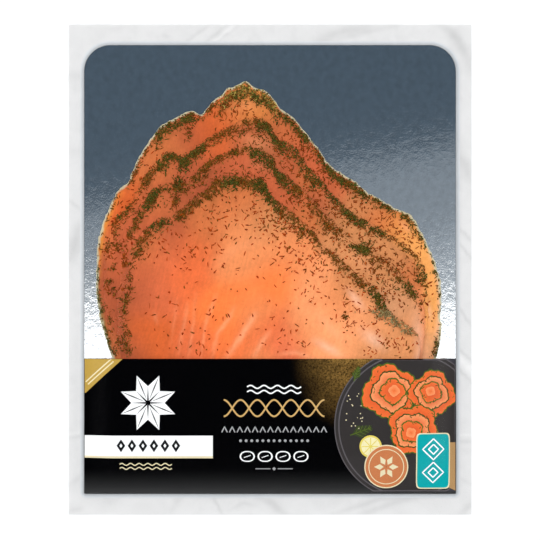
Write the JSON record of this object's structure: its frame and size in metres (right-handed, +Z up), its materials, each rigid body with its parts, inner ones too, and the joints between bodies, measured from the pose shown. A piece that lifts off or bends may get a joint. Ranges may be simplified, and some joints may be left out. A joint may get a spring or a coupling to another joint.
{
  "type": "vacuum pack of gravlax",
  "caption": "Clear vacuum pouch holding thin overlapping slices of dill-edged cured salmon on a foil-faced card that folds up over their lower ends as a printed flap.",
  "frame": {"origin": "centre of the pouch's flat underside, on the surface the pack lies on", "axes": "+Z up out of the shown face, +Y towards the pack's upper edge, +X to the right as the face is seen"},
  "size_m": [0.217, 0.264, 0.0087],
  "materials": {
    "film": "clear glossy film",
    "foil_card": "board with brushed silver foil inside and black print outside",
    "print": "black, gold and white print",
    "gravlax": "moist, slightly glossy flesh",
    "dill": "chopped herb"
  },
  "bodies": {
    "root": {"pouch": "film", "card": "foil_card", "slice_1": "gravlax", "slice_2": "gravlax", "slice_3": "gravlax", "slice_4": "gravlax"}
  },
  "joints": []
}
